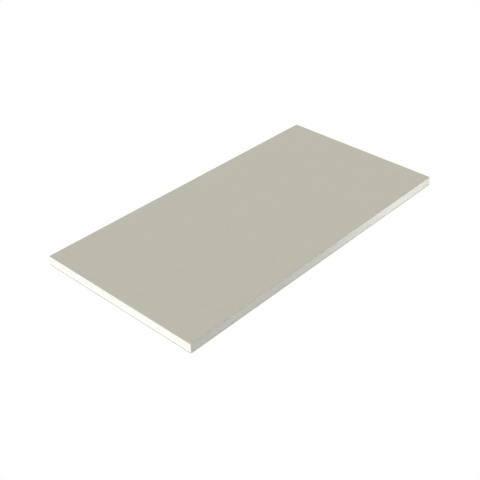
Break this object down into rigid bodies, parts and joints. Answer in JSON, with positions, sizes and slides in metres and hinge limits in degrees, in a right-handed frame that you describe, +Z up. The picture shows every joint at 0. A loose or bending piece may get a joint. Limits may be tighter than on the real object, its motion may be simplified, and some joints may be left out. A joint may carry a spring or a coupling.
{
  "type": "polyiso roof insulation board",
  "caption": "Flat rectangular roof insulation board: a rigid white foam core bonded between thin greige coated glass-mat facers, with square flush edges.",
  "frame": {"origin": "middle of the underside, on the surface that the board lies on", "axes": "+X along the length, the way the board was made; +Y across the width; +Z up through the thickness, out of the top facer"},
  "size_m": [2.4384, 1.2192, 0.0635],
  "materials": {
    "facer": "matt mineral coating over a glass-fibre mat, greige, faintly streaked along the length",
    "foam": "matt, saw-cut closed-cell foam, white with a slight cream tint"
  },
  "bodies": {
    "root": {"bottom_facer": "facer", "foam_core": "foam", "top_facer": "facer"}
  },
  "joints": []
}
